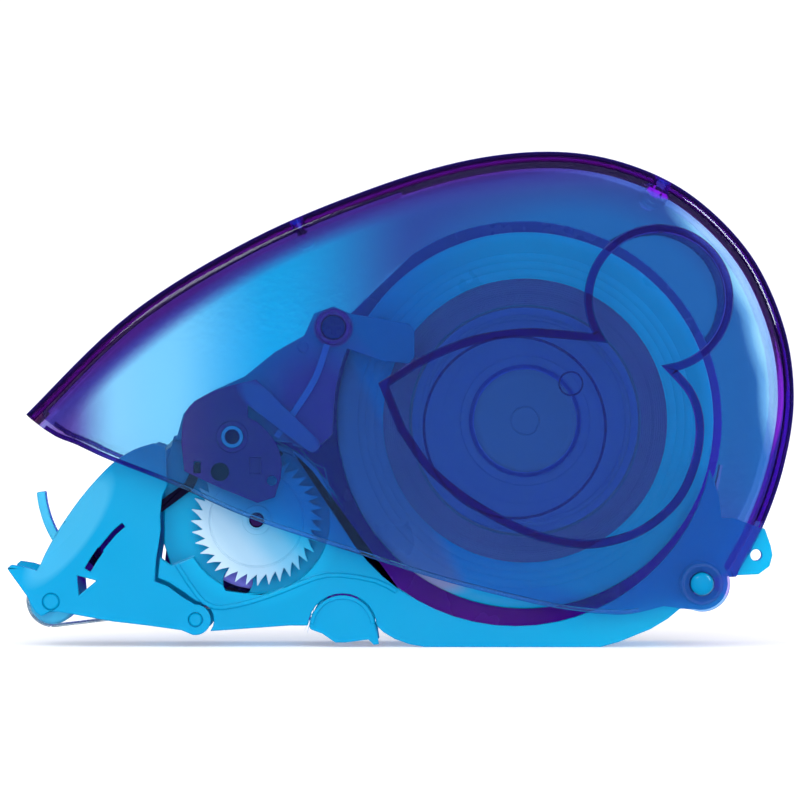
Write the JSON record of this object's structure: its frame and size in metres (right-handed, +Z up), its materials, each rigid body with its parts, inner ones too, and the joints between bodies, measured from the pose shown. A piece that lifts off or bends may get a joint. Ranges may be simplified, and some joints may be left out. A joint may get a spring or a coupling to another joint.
{
  "type": "correction tape roller",
  "caption": "Hand-held tape roller: hinged grip cover over a slim reel frame, nose head with applicator roller, saw-toothed index wheel with lever and pawl, supply and take-up reels.",
  "frame": {"origin": "on the ground plane, under the middle of the bounding box", "axes": "+Z up, +X to the rear so the roller nose points to -X, the open side with the index wheel at -Y"},
  "size_m": [0.1349, 0.0302, 0.085],
  "materials": {
    "cover_tint": "polished, deep blue, see-through",
    "frame_tint": "polished, sky blue, see-through",
    "deep_tint": "satin, deep violet blue, see-through",
    "reel_clear": "polished, pale blue, clear",
    "wheel_frost": "fine satin, pale blue",
    "roller_clear": "polished, pale blue, clear",
    "pin_clear": "polished, bright cyan",
    "black_plastic": "moulded, slight gloss",
    "screw_dark": "dark plated",
    "spring_steel": "drawn wire",
    "tape_pack": "wound film, fine rings on its edge",
    "tape_film": "coated film",
    "liner_film": "release film"
  },
  "bodies": {
    "frame": {"near_side_plate": "frame_tint", "far_side_shell": "deep_tint", "frame_screw": "screw_dark", "rear_hinge_pin": "pin_clear", "head_hinge_pin": "frame_tint", "wheel_axle": "deep_tint", "lever_pivot_pin": "deep_tint", "spool_hub": "deep_tint", "spool_hub_cap": "deep_tint", "spool_drag_washer": "spring_steel", "tape_guide_post": "deep_tint", "liner_guide_bar": "black_plastic", "return_spring": "spring_steel", "lever_spring": "frame_tint", "tape_run": "tape_film", "liner_run": "liner_film"},
    "cover": {"cover_near_shell": "cover_tint", "cover_far_shell": "cover_tint"},
    "supply": {"spool_core": "deep_tint", "spool_near_flange": "reel_clear", "spool_far_flange": "reel_clear", "tape_roll": "tape_pack"},
    "index": {"index_wheel": "wheel_frost", "take_up_core": "deep_tint", "take_up_near_flange": "reel_clear", "take_up_far_flange": "reel_clear", "wound_liner": "liner_film"},
    "lever": {"index_lever": "deep_tint", "brake_arm": "black_plastic"},
    "pawl": {"drive_pawl": "black_plastic"},
    "head": {"head_near_cheek": "frame_tint", "head_far_cheek": "deep_tint", "roller_axle": "frame_tint", "nose_guide_post": "deep_tint", "tape_finger": "reel_clear"},
    "roller": {"applicator_roller": "roller_clear"},
    "latch": {"release_latch_near": "frame_tint", "release_latch_far": "deep_tint", "latch_shaft": "frame_tint"}
  },
  "joints": [
    {"name": "cover_hinge", "type": "hinge", "parent": "frame", "child": "cover", "pos_m": [0.0516, 0, 0.011], "axis": [0, 1, 0], "range_deg": [-6, 0], "stiffness_Nm_per_rad": 0.2, "springref_deg": 17.19, "deforming": ["return_spring"]},
    {"name": "lever_hinge", "type": "hinge", "parent": "frame", "child": "lever", "pos_m": [-0.0287, 0, 0.0361], "axis": [0, 1, 0], "range_deg": [0, 18], "deforming": ["lever_spring"]},
    {"name": "pawl_hinge", "type": "hinge", "parent": "lever", "child": "pawl", "pos_m": [-0.0308, 0, 0.0301], "axis": [0, 1, 0], "range_deg": [-18, 0]},
    {"name": "supply_spin", "type": "hinge", "parent": "frame", "child": "supply", "pos_m": [0.0215, 0, 0.0388], "axis": [0, 1, 0], "continuous": true},
    {"name": "index_spin", "type": "hinge", "parent": "frame", "child": "index", "pos_m": [-0.0246, 0, 0.0218], "axis": [0, 1, 0], "continuous": true},
    {"name": "head_hinge", "type": "hinge", "parent": "frame", "child": "head", "pos_m": [-0.0351, 0, 0.0047], "axis": [0, 1, 0], "range_deg": [-60, 0], "deforming": ["tape_run", "liner_run"]},
    {"name": "roller_spin", "type": "hinge", "parent": "head", "child": "roller", "pos_m": [-0.0599, 0, 0.0078], "axis": [0, 1, 0], "continuous": true},
    {"name": "latch_hinge", "type": "hinge", "parent": "frame", "child": "latch", "pos_m": [-0.0099, 0, 0.0033], "axis": [0, 1, 0], "range_deg": [0, 40]}
  ],
  "couplings": [
    {"joint": "lever_hinge", "follows": "cover_hinge", "ratio": -3},
    {"joint": "pawl_hinge", "follows": "cover_hinge", "ratio": 3},
    {"joint": "index_spin", "follows": "supply_spin", "ratio": 3.1282},
    {"joint": "roller_spin", "follows": "supply_spin", "ratio": 5.9512}
  ]
}
